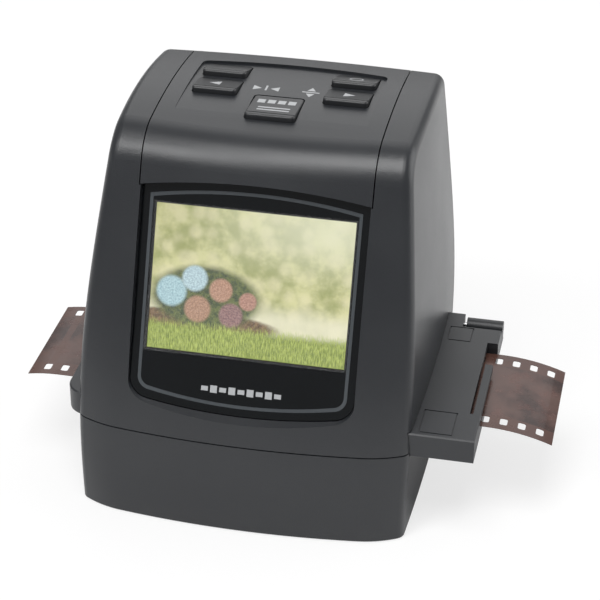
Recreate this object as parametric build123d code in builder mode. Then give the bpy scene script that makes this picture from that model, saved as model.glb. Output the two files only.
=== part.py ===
"""Film negative scanner: a casing with a tilted screen, five keys and a film tray that slides through it.

The origin is the middle of the footprint on the table. X runs to the right along the tray, Y to the back
and Z up. All sizes are in millimetres.
"""

import os
from math import asin, atan, ceil, copysign, cos, degrees, floor, radians, sin, sqrt

from build123d import *

os.makedirs("parts", exist_ok=True)

# ---------------------------------------------------------------- casing sizes
casing_width = 87.8  # between the front corners, at the seam
front_y = -33.2  # front corners at the table
back_y = 43.6  # back corners
back_bow = 2.4  # the back stands out this much in its middle
side_bow = 1.1  # the sides stand out this much in their middle
side_flare = 0.5  # the back corners stand out this much more than the front corners
shoulder_share = 0.74  # part of the front's width that is one flat arc, between two corner arcs
foot_proud = 0.4  # how far the feet stand out under the casing
seam_height = 25.5  # parting line between base pan and main housing
waist_height = 48.0
brow_height = 70.0
bend_height = 91.0  # where the front starts to turn over into the top
form_height = 106.0  # the form's last section, above the finished top
crown_y = 18.0  # highest line of the crowned top
crown_top = 100.2
crown_radius = 160.0
wall = 2.2
bend_radius = 12.5
back_radius = 3.5
edge_radius = 3.0
thin_radius = 0.4  # the least round of an inner wall
seam_gap = 0.16  # half the width of a visible seam
fit_gap = 0.25  # loose fit between pieces
face_gap = 0.1  # between stacked plates

# each level: height, draw-in of each side, set-back of the front corners, how far the corner arcs
# and then the middle arc stand out in front of them
casing_levels = [
    (foot_proud, 0.5, 0.0, 4.3, 2.1),
    (seam_height, 0.0, 1.6, 4.0, 2.1),
    (waist_height, 0.5, 6.7, 2.6, 2.2),
    (brow_height, 2.4, 13.7, 1.4, 1.8),
    (bend_height, 4.7, 21.7, 0.7, 1.3),
    (form_height, 6.6, 27.5, 0.4, 1.0),
]
floor_top = foot_proud + wall

# ---------------------------------------------------------------- screen sizes
screen_tilt = 22.5  # degrees from upright
screen_y = -20.9
screen_z = 63.9
screen_width = 51.8
screen_height = 37.6
bezel_width = 58.8
bezel_side_top = 23.1  # above the screen's middle, at the corners
bezel_arch = 2.4
bezel_side_bottom = 31.0  # below the screen's middle, at the corners
bezel_sag = 2.9
bezel_corner = 5.5
bezel_thickness = 1.6
inlay_inset = 1.9
inlay_width = 0.9
inlay_depth = 0.4
window_thickness = 1.2
window_ledge = 0.6
inlay_fit = 0.03
flange_thickness = 1.8
panel_thickness = 1.8
panel_margin = 1.8
frame_thickness = 1.4
frame_lip = 1.6

screen_plane = Plane(
    origin=(0, screen_y, screen_z),
    x_dir=(1, 0, 0),
    z_dir=(0, -cos(radians(screen_tilt)), sin(radians(screen_tilt))),
)

# ---------------------------------------------------------------- top cover and keys
cover_width = 59.6
cover_front_y = -15.0  # the cover's lower edge: from here, up to its wrap over the back edge
cover_front_z = 83.2
cover_slope = 8.5  # degrees
cover_length = 74.0
rail_inside = 1.2  # ledges of the housing under the cover's edges
rail_outside = 2.5
rail_thickness = 1.3
well_wall = 1.8
rim_angle = 42.0  # the casing's rim slopes away below the bezel
pocket_reach = 15.0
rail_reach = 20.0
panel_lip = 0.06  # depth of the key panel at its front edge
panel_step = 0.7  # how much deeper it is at its back edge
panel_half_width = 25.2
panel_front = 4.0
panel_back = 36.9
panel_bow = 2.5
panel_corner = 2.0
key_travel = 0.8
key_rise = 1.5  # the front lip of a key above the panel
key_flange = 0.9
key_flange_thickness = 0.7
key_width = 11.8
scan_width = 13.2
key_corner = 1.1
key_lip = 1.3
lip_round = 0.5
lip_groove = 0.35
lip_groove_depth = 0.25
key_gap = 0.2  # between a key and its hole
key_side_x = 17.4
key_near_y = 13.5  # front edge of the left and right keys
key_near_depth = 9.6
key_far_y = 24.9  # front edge of the power and OK keys
key_far_depth = 9.2
scan_y = 2.0
scan_depth = 13.4
key_under_gap = 0.35  # play between a key's flange and the cover
key_clearance = 0.05  # between a pressed key and its switch
key_stem = 4.0
switch_height = 1.6
switch_size = 6.0
plunger_radius = 1.6
plunger_height = 0.5
key_board_thickness = 1.2
key_board_front = 0.0
key_board_back = 38.4
key_board_half = 28.0
key_post_x = 26.6
key_post_near = 2.4
key_post_far = 35.6
key_post_radius = 1.6
post_screw_depth = 3.2

cover_plane = Plane(
    origin=(0, cover_front_y, cover_front_z),
    x_dir=(1, 0, 0),
    z_dir=(0, -sin(radians(cover_slope)), cos(radians(cover_slope))),
)
rim_direction = screen_plane.z_dir * cos(radians(rim_angle)) - screen_plane.y_dir * sin(radians(rim_angle))

# ---------------------------------------------------------------- tray and film
tray_left = -48.1
tray_right = 60.3
tray_half = 30.4
tray_bottom = 24.6
tray_top = 31.3
lid_thickness = 1.9
tray_corner = 6.0
tray_gap = 0.3  # round the tray, in its guide
edge_bevel = 0.35
film_y = -0.8  # middle of the film
film_width = 35.0
film_thickness = 0.15
film_z = 27.9  # underside of the film in the tray
film_seat_gap = 0.1
film_gap = 0.3  # beside the film in its channel
hole_pitch = 4.75
hole_width = 2.8  # across the film
hole_length = 1.98  # along the film
hole_edge = 2.01  # from the film's edge to its holes
hole_corner = 0.5
hole_phase = 61.2  # X of one hole
film_right = 79.4
film_left = -62.2
film_bend_right = 61.0  # where the free end starts to droop
film_bend_left = -54.0
film_curl_right = 51.0  # radius of the droop
film_curl_left = 40.0
gate_length = 37.0
gate_width = 25.0
relief_depth = 1.9  # the film channel is deeper at the lead-in end, for a curled film
relief_edge = -18.9
hinge_radius = 2.1
pin_radius = 0.7
pin_fit = 0.04
hinge_y = 28.3
hinge_z = 29.2
hinge_strip = 24.4  # the lid's plate ends here, the hinge parts lie behind
barrel_length = 10.0  # the base's hinge barrel, from the tray's end
knuckle_length = 7.5
hinge_slit = 0.8
pin_length = 15.0
thumb_pad_x = 50.1
thumb_pad_y = -23.8
thumb_pad_length = 8.8
thumb_pad_width = 10.5
mark_x = 49.6
mark_y = 19.8
mark_length = 6.6
mark_width = 7.2
groove_width = 0.35
groove_depth = 0.3
notch_left = 57.4
notch_front = 6.0
notch_back = 16.8
slot_width = 0.9
slot_front = -18.1
detent_slot_depth = 0.55
detent_slot_height = 2.4
detent_notch_depth = 0.9
detent_notch_length = 3.0
detent_z = 26.4

# ---------------------------------------------------------------- inside
optic_length = 46.0
optic_width = 34.0
optic_wall = 1.6
led_board_z = 7.0
board_thickness = 1.6
light_box_top = 22.2
diffuser_thickness = 2.0
diffuser_ledge = 0.8
led_pitch = 8.0
led_columns = 5
led_rows = 3
led_size = 3.0
led_height = 1.4
guide_floor = 1.9
guide_wall = 1.8
guide_roof = 1.8
guide_half = 39.5
guide_window_margin = 1.5
guide_post_x = 34.5
guide_post_y = 25.5
post_radius = 2.6
tower_top = 60.0
tower_top_length = 34.0
tower_top_width = 26.0
tower_flange = 4.0
tower_flange_thickness = 1.8
lens_plate_z = 50.0
lens_plate_thickness = 2.0
lens_radius = 5.2
lens_thickness = 1.8
barrel_wall = 1.4
barrel_flange = 1.6
barrel_bottom = 45.0
barrel_top = 57.0
sensor_board_length = 36.0
sensor_board_width = 27.0
sensor_length = 12.0
sensor_width = 10.0
sensor_height = 1.2
main_board_z = 66.0
main_board_half = 33.0
main_board_front = -8.0
main_board_back = 38.0
bracket_y_near = 0.0
bracket_y_far = 30.0
bracket_width = 6.0
bracket_height = 4.5
bracket_inner = 29.5
bracket_screw = 1.8  # from the bracket's inner end
screw_radius = 1.4
screw_head_radius = 2.7
screw_head_height = 1.8
small_screw_radius = 0.9
small_head_radius = 1.7
small_head_height = 1.1
boss_radius = 4.0
boss_x = casing_width / 2 - 8.9
boss_y = back_y - 6.8
boss_rib = 2.0
boss_height = 12.0  # of the housing's boss above the seam
foot_radius = 5.0
foot_seat = 1.2
foot_x = casing_width / 2 - 12.9
foot_front_y = -24.0
foot_back_y = 25.0
card_x = -14.0
card_width = 28.0
card_depth = 27.0
card_height = 3.2
card_slot_width = 24.6
card_slot_height = 2.3
usb_x = 10.0
usb_width = 7.7
usb_height = 3.9
usb_depth = 9.2
jack_x = 22.0
jack_body = 7.0
jack_height = 5.6
jack_depth = 11.0
jack_nose = 2.9
jack_bore = 1.8
port_gap = 0.3
port_face_y = 44.0
ribbon_thickness = 0.3
ribbon_bend = 0.8
ribbon_x = 4.0
lcd_ribbon_width = 14.0
sensor_ribbon_width = 12.0
key_ribbon_width = 8.0
key_ribbon_x = 10.0
key_ribbon_middle = 80.0
detent_clearance = 0.25
detent_window_half = 9.0
detent_tab = 3.0
detent_bump = 3.0
detent_width = 2.0
spring_thickness = 0.3

guide_bottom = tray_bottom - tray_gap - guide_floor
guide_top = tray_top + tray_gap + guide_roof
guide_side = tray_half + tray_gap + guide_wall
lid_bottom = tray_top - lid_thickness
board_top = main_board_z + board_thickness
panel_plate_z = -(bezel_thickness + face_gap)  # the screen flange's front face, in the screen plane


def write(piece, name):
    """Names a finished piece and writes it."""
    piece.label = name
    export_step(piece, f"parts/{name}.step")


# ---------------------------------------------------------------- casing
def arc_drop(distance, radius):
    """How far an arc of this radius has dropped at a distance from its highest point."""
    return radius - sqrt(radius**2 - distance**2)


def crown_level(y):
    """Height of the casing's crowned top."""
    return crown_top - arc_drop(y - crown_y, crown_radius)


def casing_section(height, draw_in, setback, corner_bow, middle_bow, inset):
    """The casing's outline in plan at one level, drawn in by inset."""
    half = casing_width / 2 - draw_in - inset
    near = front_y + setback + inset / cos(radians(screen_tilt))
    far = back_y - inset
    middle = (near + far) / 2
    shoulder = half * shoulder_share
    level = near - corner_bow
    middle_turn = asin(2 * shoulder * middle_bow / (shoulder**2 + middle_bow**2))
    with BuildSketch(Plane.XY.offset(height)) as section:
        with BuildLine():
            ThreePointArc((-shoulder, level), (0, level - middle_bow), (shoulder, level))
            TangentArc((shoulder, level), (half, near), tangent=(cos(middle_turn), sin(middle_turn)))
            ThreePointArc((half, near), (half + side_bow, middle), (half + side_flare, far))
            ThreePointArc((half + side_flare, far), (0, far + back_bow), (-half - side_flare, far))
            ThreePointArc((-half - side_flare, far), (-half - side_bow, middle), (-half, near))
            TangentArc((-shoulder, level), (-half, near), tangent=(-cos(middle_turn), sin(middle_turn)))
        make_face()
    return section.sketch


def crown_space(inset):
    """The space under the crowned top, drawn in by inset."""
    reach = casing_width  # well past the casing on every side
    top = crown_top - inset
    side = top - arc_drop(reach, crown_radius - inset)
    with BuildPart() as space:
        with BuildSketch(Plane.YZ):
            with BuildLine():
                ThreePointArc((crown_y - reach, side), (crown_y, top), (crown_y + reach, side))
                Polyline(
                    (crown_y + reach, side),
                    (crown_y + reach, side - 2 * reach),
                    (crown_y - reach, side - 2 * reach),
                    (crown_y - reach, side),
                )
            make_face()
        extrude(amount=reach, both=True)
    return space.part


def casing_form(inset, edge=0.0):
    """The casing's closed form, drawn in by inset: sections in plan, cut by the crowned top."""
    with BuildPart() as form:
        for level in casing_levels:
            add(casing_section(*level, inset))
        loft()
        add(crown_space(inset), mode=Mode.INTERSECT)
        top_edges = form.faces().sort_by(Axis.Z)[-1].edges()
        front_edges = top_edges.filter_by(
            lambda e: e.center().Y < 0 and abs(e.center().X) < casing_width * 0.42
        )
        fillet(front_edges, max(bend_radius - inset, thin_radius))
        top_edges = form.faces().sort_by(Axis.Z)[-1].edges()
        fillet(top_edges.sort_by(Axis.Y)[-1], max(back_radius - inset, thin_radius))
        if edge > 0:
            side_edges = form.edges().filter_by(
                lambda e: abs(e.center().X) > casing_width * 0.42 and e.center().Z > foot_proud + edge
            )
            fillet(side_edges, edge)
    return form.part


outer_form = casing_form(0.0, edge_radius)
inner_form = casing_form(wall)
ledge_form = casing_form(wall + face_gap)
ledge_inner_form = casing_form(wall + face_gap + rail_thickness)


def bezel_outline(grow=0.0):
    """The bezel's face, grown all round: straight sides, arched top, sagging foot with round corners."""
    half = bezel_width / 2 + grow
    high = bezel_side_top + grow
    low = -bezel_side_bottom - grow
    with BuildSketch() as outline:
        with BuildLine():
            ThreePointArc((-half, high), (0, high + bezel_arch), (half, high))
            Line((half, high), (half, low))
            ThreePointArc((half, low), (0, low - bezel_sag), (-half, low))
            Line((-half, low), (-half, high))
        make_face()
        foot = outline.vertices().group_by(Axis.Y)[0]
        fillet(foot, bezel_corner + grow)
    return outline.sketch


def cover_block(grow):
    """The space of the top cover, grown all round: from the bezel's arched top back over the bend."""
    half = cover_width / 2 + grow
    low = bezel_side_top + fit_gap - grow
    far = low + 2 * casing_width
    with BuildPart() as block:
        with BuildSketch(screen_plane):
            with BuildLine():
                ThreePointArc((-half, low), (0, low + bezel_arch), (half, low))
                Polyline((half, low), (half, far), (-half, far), (-half, low))
            make_face()
        extrude(amount=2 * casing_width, both=True)
        split(bisect_by=cover_plane.offset(-grow), keep=Keep.TOP)
    return block.part


cover_zone = cover_block(0)
cover_opening = cover_block(2 * seam_gap)

with BuildPart() as cover_rails:
    with BuildSketch(cover_plane):
        for side in (-1, 1):
            with Locations((side * (cover_width / 2 + (rail_outside - rail_inside) / 2), cover_length / 2)):
                Rectangle(rail_inside + rail_outside, 1.2 * cover_length)
    extrude(amount=rail_reach)
    add(outer_form, mode=Mode.INTERSECT)
    add(ledge_inner_form, mode=Mode.SUBTRACT)

with BuildPart() as screen_well:
    with BuildSketch(screen_plane.offset(-bezel_thickness - flange_thickness)):
        add(bezel_outline(well_wall))
    extrude(amount=14)
    add(outer_form, mode=Mode.INTERSECT)
    with BuildSketch(Plane.XY):
        Rectangle(casing_width, 2 * (tray_half + tray_gap + guide_wall + fit_gap))
    extrude(amount=tray_top + tray_gap + guide_roof + 2 * fit_gap, mode=Mode.SUBTRACT)


def key_rows():
    """Each key: name, middle in X, front edge in Y, width, depth."""
    return [
        ("power_button", -key_side_x, key_far_y, key_width, key_far_depth),
        ("left_button", -key_side_x, key_near_y, key_width, key_near_depth),
        ("ok_button", key_side_x, key_far_y, key_width, key_far_depth),
        ("right_button", key_side_x, key_near_y, key_width, key_near_depth),
        ("scan_button", 0.0, scan_y, scan_width, scan_depth),
    ]


def rear_plane(y):
    """A plane that faces the front, at y."""
    return Plane.XZ.offset(-y)


with BuildPart() as cover_layer:
    add(outer_form)
    add(ledge_form, mode=Mode.SUBTRACT)
    add(cover_opening, mode=Mode.INTERSECT)

with BuildPart() as base_cavity:
    add(inner_form)
    split(bisect_by=Plane.XY.offset(floor_top), keep=Keep.TOP)

foot_places = [(x, y) for x in (-foot_x, foot_x) for y in (foot_front_y, foot_back_y)]
boss_places = [(-boss_x, boss_y), (boss_x, boss_y)]
guide_places = [(x, y) for x in (-guide_post_x, guide_post_x) for y in (-guide_post_y, guide_post_y)]
led_board_length = optic_length + 9
led_board_width = optic_width + 4
led_places = [
    (x, film_y + y)
    for x in (-led_board_length / 2 + 2.4, led_board_length / 2 - 2.4)
    for y in (-led_board_width / 2 + 2.4, led_board_width / 2 - 2.4)
]

with BuildPart() as base_pan:
    add(outer_form)
    add(base_cavity.part, mode=Mode.SUBTRACT)
    split(bisect_by=Plane.XY.offset(seam_height - seam_gap), keep=Keep.BOTTOM)
    # columns for the casing screws, tied to the walls by ribs
    with BuildSketch(Plane.XY.offset(foot_proud)):
        with Locations(*boss_places):
            Circle(boss_radius)
        for x, y in boss_places:
            with Locations((x + copysign(boss_radius, x), y)):
                Rectangle(2 * boss_radius, boss_rib)
            with Locations((x, y + boss_radius)):
                Rectangle(boss_rib, 2 * boss_radius)
    extrude(amount=seam_height - foot_proud)
    add(outer_form, mode=Mode.INTERSECT)
    with BuildSketch(Plane.XY.offset(floor_top - wall / 2)):
        with Locations(*guide_places):
            Circle(post_radius)
    extrude(amount=guide_bottom - floor_top + wall / 2)
    with BuildSketch(Plane.XY.offset(floor_top - wall / 2)):
        with Locations(*led_places):
            Circle(post_radius - 0.4)
    extrude(amount=led_board_z - floor_top + wall / 2)
    # screw holes, foot seats and the tray's slot
    with BuildSketch(Plane.XY):
        with Locations(*boss_places):
            Circle(screw_radius + fit_gap)
    extrude(amount=seam_height + 1, mode=Mode.SUBTRACT)
    with BuildSketch(Plane.XY):
        with Locations(*boss_places):
            Circle(screw_head_radius + fit_gap)
    extrude(amount=foot_proud + wall + screw_head_height, mode=Mode.SUBTRACT)
    with BuildSketch(Plane.XY.offset(guide_bottom)):
        with Locations(*guide_places):
            Circle(small_screw_radius)
    extrude(amount=-10, mode=Mode.SUBTRACT)
    with BuildSketch(Plane.XY.offset(led_board_z)):
        with Locations(*led_places):
            Circle(small_screw_radius)
    extrude(amount=-(led_board_z - floor_top), mode=Mode.SUBTRACT)
    with BuildSketch(Plane.XY):
        with Locations(*foot_places):
            Circle(foot_radius + face_gap)
    extrude(amount=foot_proud + foot_seat, mode=Mode.SUBTRACT)
    with BuildSketch(Plane.XY.offset(tray_bottom - tray_gap)):
        Rectangle(casing_width + 10, 2 * (tray_half + tray_gap))
    extrude(amount=10, mode=Mode.SUBTRACT)
write(base_pan.part, "base_pan")

with BuildPart() as main_housing:
    add(outer_form)
    add(inner_form, mode=Mode.SUBTRACT)
    add(cover_rails.part)
    # the board's brackets and the screw bosses, tied to the walls
    with BuildSketch(Plane.XY.offset(main_board_z - bracket_height)):
        for side in (-1, 1):
            for y in (bracket_y_near, bracket_y_far):
                with Locations((side * (bracket_inner + casing_width / 2) / 2, y)):
                    Rectangle(casing_width / 2 - bracket_inner, bracket_width)
    extrude(amount=bracket_height)
    with BuildSketch(Plane.XY.offset(seam_height)):
        with Locations(*boss_places):
            Circle(boss_radius)
        for x, y in boss_places:
            with Locations((x + copysign(boss_radius, x), y)):
                Rectangle(2 * boss_radius, boss_rib)
            with Locations((x, y + boss_radius)):
                Rectangle(boss_rib, 2 * boss_radius)
    extrude(amount=boss_height)
    add(outer_form, mode=Mode.INTERSECT)
    with BuildSketch(Plane.XY):
        Rectangle(2 * casing_width, 2 * casing_width)
        with Locations(*boss_places):
            Circle(boss_radius, mode=Mode.SUBTRACT)
    extrude(amount=seam_height + seam_gap, mode=Mode.SUBTRACT)
    with BuildSketch(Plane.XY):
        Rectangle(2 * casing_width, 2 * casing_width)
    extrude(amount=seam_height, mode=Mode.SUBTRACT)
    add(screen_well.part)
    add(cover_layer.part, mode=Mode.SUBTRACT)
    # the bezel's pocket and the display's opening
    with BuildSketch(screen_plane.offset(panel_plate_z)):
        add(bezel_outline(fit_gap))
    extrude(amount=pocket_reach, mode=Mode.SUBTRACT)
    with BuildSketch(screen_plane):
        add(bezel_outline(fit_gap))
    extrude(amount=pocket_reach, dir=rim_direction, mode=Mode.SUBTRACT)
    with BuildSketch(screen_plane):
        Rectangle(screen_width + 2 * (panel_margin + fit_gap), screen_height + 2 * (panel_margin + fit_gap))
    extrude(amount=-pocket_reach, mode=Mode.SUBTRACT)
    # the tray's slot
    with BuildSketch(Plane.XY.offset(seam_height - 5)):
        Rectangle(casing_width + 10, 2 * (tray_half + tray_gap))
    extrude(amount=tray_top + tray_gap - seam_height + 5, mode=Mode.SUBTRACT)
    # screw holes
    with BuildSketch(Plane.XY.offset(seam_height)):
        with Locations(*boss_places):
            Circle(screw_radius)
    extrude(amount=boss_height - 2, mode=Mode.SUBTRACT)
    with BuildSketch(Plane.XY.offset(main_board_z)):
        for side in (-1, 1):
            for y in (bracket_y_near, bracket_y_far):
                with Locations((side * (bracket_inner + bracket_screw), y)):
                    Circle(small_screw_radius)
    extrude(amount=-bracket_height, mode=Mode.SUBTRACT)
    # ports in the back
    with BuildSketch(rear_plane(back_y - 6)):
        with Locations((card_x, board_top + card_height / 2)):
            RectangleRounded(card_slot_width + 2, card_slot_height + 1.2, 1.0)
        with Locations((usb_x, board_top + usb_height / 2)):
            RectangleRounded(usb_width + 2 * port_gap, usb_height + 2 * port_gap, 0.9)
        with Locations((jack_x, board_top + jack_height / 2)):
            Circle(jack_nose + port_gap)
    extrude(amount=-20, mode=Mode.SUBTRACT)
write(main_housing.part, "main_housing")



def panel_level(y):
    """Height of the key panel, which sinks into the top towards its back edge."""
    sink = panel_lip + panel_step * (y - panel_front) / (panel_back - panel_front)
    return crown_level(y) - max(sink, 0)


def flange_level(near, depth):
    """Underside of a key's flange, which rests under the cover where the cover is lowest."""
    return min(crown_level(near), crown_level(near + depth)) - wall - key_under_gap - key_flange_thickness


key_foot = min(flange_level(near, depth) for name, x, near, width, depth in key_rows())
plunger_top = key_foot - key_travel - key_clearance
switch_top = plunger_top - plunger_height
key_board_top = switch_top - switch_height
key_posts = [(side * key_post_x, y) for side in (-1, 1) for y in (key_post_near, key_post_far)]

with BuildPart() as panel_wedge:
    with BuildSketch(Plane.XY.offset(crown_top - 2 * wall)) as panel_plan:
        with BuildLine():
            ThreePointArc(
                (-panel_half_width, panel_back - panel_bow),
                (0, panel_back),
                (panel_half_width, panel_back - panel_bow),
            )
            Polyline(
                (panel_half_width, panel_back - panel_bow),
                (panel_half_width, panel_front),
                (-panel_half_width, panel_front),
                (-panel_half_width, panel_back - panel_bow),
            )
        make_face()
        fillet(panel_plan.vertices().group_by(Axis.Y)[-1], panel_corner)
    extrude(amount=4 * wall)
    panel_turn = degrees(atan(panel_step / (panel_back - panel_front)))
    panel_axis = Axis((0, panel_front, crown_level(panel_front)), (1, 0, 0))
    add(crown_space(panel_lip).rotate(panel_axis, -panel_turn), mode=Mode.SUBTRACT)

with BuildPart() as top_cover:
    add(outer_form)
    add(inner_form, mode=Mode.SUBTRACT)
    add(cover_zone, mode=Mode.INTERSECT)
    # posts for the key board
    for x, y in key_posts:
        with BuildSketch(Plane.XY.offset(key_board_top)):
            with Locations((x, y)):
                Circle(key_post_radius)
        extrude(amount=crown_level(y) - wall / 2 - key_board_top)
    add(panel_wedge.part, mode=Mode.SUBTRACT)
    # key holes and screw holes
    with BuildSketch(Plane.XY.offset(key_foot)):
        for name, x, near, width, depth in key_rows():
            with Locations((x, near + depth / 2)):
                RectangleRounded(width + 2 * key_gap, depth + 2 * key_gap, key_corner + key_gap)
    extrude(amount=4 * wall, mode=Mode.SUBTRACT)
    with BuildSketch(Plane.XY.offset(key_board_top)):
        with Locations(*key_posts):
            Circle(small_screw_radius)
    extrude(amount=post_screw_depth, mode=Mode.SUBTRACT)
write(top_cover.part, "top_cover")


# ---------------------------------------------------------------- screen
def screen_level(z):
    """A plane parallel to the screen, z above the bezel's face."""
    return screen_plane.offset(z)


with BuildPart() as screen_bezel:
    with BuildSketch(screen_level(-bezel_thickness)):
        add(bezel_outline())
        Rectangle(screen_width, screen_height, mode=Mode.SUBTRACT)
    extrude(amount=bezel_thickness)
    with BuildSketch(screen_level(-window_thickness)):
        Rectangle(screen_width + 2 * window_ledge, screen_height + 2 * window_ledge)
    extrude(amount=window_thickness, mode=Mode.SUBTRACT)
    with BuildSketch(screen_level(-inlay_depth)):
        add(bezel_outline(-inlay_inset))
        add(bezel_outline(-inlay_inset - inlay_width), mode=Mode.SUBTRACT)
    extrude(amount=inlay_depth, mode=Mode.SUBTRACT)
write(screen_bezel.part, "screen_bezel")

with BuildPart() as bezel_inlay:
    with BuildSketch(screen_level(-inlay_depth)):
        add(bezel_outline(-inlay_inset - inlay_fit))
        add(bezel_outline(-inlay_inset - inlay_width + inlay_fit), mode=Mode.SUBTRACT)
    extrude(amount=inlay_depth + inlay_fit)
write(bezel_inlay.part, "bezel_inlay")

with BuildPart() as screen_window:
    with BuildSketch(screen_level(-window_thickness)):
        Rectangle(
            screen_width + 2 * (window_ledge - inlay_fit), screen_height + 2 * (window_ledge - inlay_fit)
        )
    extrude(amount=window_thickness - inlay_fit)
write(screen_window.part, "screen_window")

panel_front_z = panel_plate_z - face_gap
with BuildPart() as lcd_panel:
    with BuildSketch(screen_level(panel_front_z - panel_thickness)):
        Rectangle(screen_width + 2 * panel_margin, screen_height + 2 * panel_margin)
    extrude(amount=panel_thickness)
write(lcd_panel.part, "lcd_panel")

frame_front_z = min(panel_front_z - panel_thickness, -bezel_thickness - flange_thickness) - face_gap
with BuildPart() as lcd_frame:
    with BuildSketch(screen_level(frame_front_z - frame_thickness)):
        RectangleRounded(
            screen_width + 2 * (panel_margin + frame_lip),
            screen_height + 2 * (panel_margin + frame_lip),
            1.2,
        )
    extrude(amount=frame_thickness)
write(lcd_frame.part, "lcd_frame")


# ---------------------------------------------------------------- keys
def key_solid(x, near, width, depth):
    """A key: its top falls from a raised front lip to the panel; a flange under the cover, a foot below."""
    far = near + depth
    flange_bottom = flange_level(near, depth)
    lip_top = panel_level(near) + key_rise
    back_top = panel_level(far)
    groove_y = near + key_lip + lip_groove / 2
    with BuildPart() as key:
        with BuildSketch(Plane.XY.offset(flange_bottom)):
            with Locations((x, near + depth / 2)):
                RectangleRounded(width, depth, key_corner)
        extrude(amount=lip_top - flange_bottom)
        with BuildSketch(Plane.YZ):
            Polygon(
                (near + key_lip, lip_top),
                (far, back_top),
                (far + 1, back_top),
                (far + 1, lip_top + 1),
                (near + key_lip, lip_top + 1),
                align=None,
            )
        extrude(amount=casing_width, both=True, mode=Mode.SUBTRACT)
        lip_edges = key.faces().sort_by(Axis.Z)[-1].edges()
        fillet(lip_edges.filter_by(lambda e: e.center().Y < near + key_lip - inlay_fit), lip_round)
        with BuildSketch(Plane.YZ):
            with Locations((groove_y, lip_top)):
                Rectangle(lip_groove, 2 * lip_groove_depth)
        extrude(amount=casing_width, both=True, mode=Mode.SUBTRACT)
        with BuildSketch(Plane.XY.offset(flange_bottom)):
            with Locations((x, near + depth / 2)):
                Rectangle(width + 2 * key_flange, depth)
        extrude(amount=key_flange_thickness)
        with BuildSketch(Plane.XY.offset(key_foot)):
            with Locations((x, near + depth / 2)):
                Rectangle(key_stem, key_stem)
        extrude(amount=flange_bottom + key_flange_thickness / 2 - key_foot)
    return key.part


for key_name, key_x, key_near, this_width, this_depth in key_rows():
    write(key_solid(key_x, key_near, this_width, this_depth), key_name)

with BuildPart() as key_board:
    with BuildSketch(Plane.XY.offset(key_board_top - key_board_thickness)):
        with Locations((0, (key_board_front + key_board_back) / 2)):
            Rectangle(2 * key_board_half, key_board_back - key_board_front)
        with Locations(*key_posts):
            Circle(small_screw_radius + face_gap, mode=Mode.SUBTRACT)
    extrude(amount=key_board_thickness)
write(key_board.part, "key_board")

with BuildPart() as tact_switches:
    for name, x, near, width, depth in key_rows():
        with BuildSketch(Plane.XY.offset(key_board_top)):
            with Locations((x, near + depth / 2)):
                Rectangle(switch_size, switch_size)
        extrude(amount=switch_height)
        with BuildSketch(Plane.XY.offset(switch_top)):
            with Locations((x, near + depth / 2)):
                Circle(plunger_radius)
        extrude(amount=plunger_height)
write(tact_switches.part, "tact_switches")


# ---------------------------------------------------------------- light under the film
with BuildPart() as led_board:
    with BuildSketch(Plane.XY.offset(led_board_z)):
        with Locations((0, film_y)):
            Rectangle(led_board_length, led_board_width)
        with Locations(*led_places):
            Circle(small_screw_radius + face_gap, mode=Mode.SUBTRACT)
    extrude(amount=board_thickness)
write(led_board.part, "led_board")

led_board_top = led_board_z + board_thickness
with BuildPart() as leds:
    with BuildSketch(Plane.XY.offset(led_board_top)):
        with Locations((0, film_y)):
            with GridLocations(led_pitch, led_pitch, led_columns, led_rows):
                Rectangle(led_size, led_size)
    extrude(amount=led_height)
write(leds.part, "leds")

with BuildPart() as light_box:
    with BuildSketch(Plane.XY.offset(led_board_top)):
        with Locations((0, film_y)):
            Rectangle(optic_length, optic_width)
            Rectangle(optic_length - 2 * optic_wall, optic_width - 2 * optic_wall, mode=Mode.SUBTRACT)
    extrude(amount=light_box_top - led_board_top)
    with BuildSketch(Plane.XY.offset(light_box_top - diffuser_thickness)):
        with Locations((0, film_y)):
            Rectangle(optic_length - 2 * diffuser_ledge, optic_width - 2 * diffuser_ledge)
    extrude(amount=diffuser_thickness, mode=Mode.SUBTRACT)
write(light_box.part, "light_box")

with BuildPart() as diffuser_panel:
    with BuildSketch(Plane.XY.offset(light_box_top - diffuser_thickness)):
        with Locations((0, film_y)):
            Rectangle(
                optic_length - 2 * (diffuser_ledge + face_gap), optic_width - 2 * (diffuser_ledge + face_gap)
            )
    extrude(amount=diffuser_thickness)
write(diffuser_panel.part, "diffuser_panel")


# ---------------------------------------------------------------- tray guide
tower_screw_places = [
    (x, film_y + y)
    for x in (-(optic_length + tower_flange) / 2, (optic_length + tower_flange) / 2)
    for y in (-optic_width / 3, optic_width / 3)
]

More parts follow.
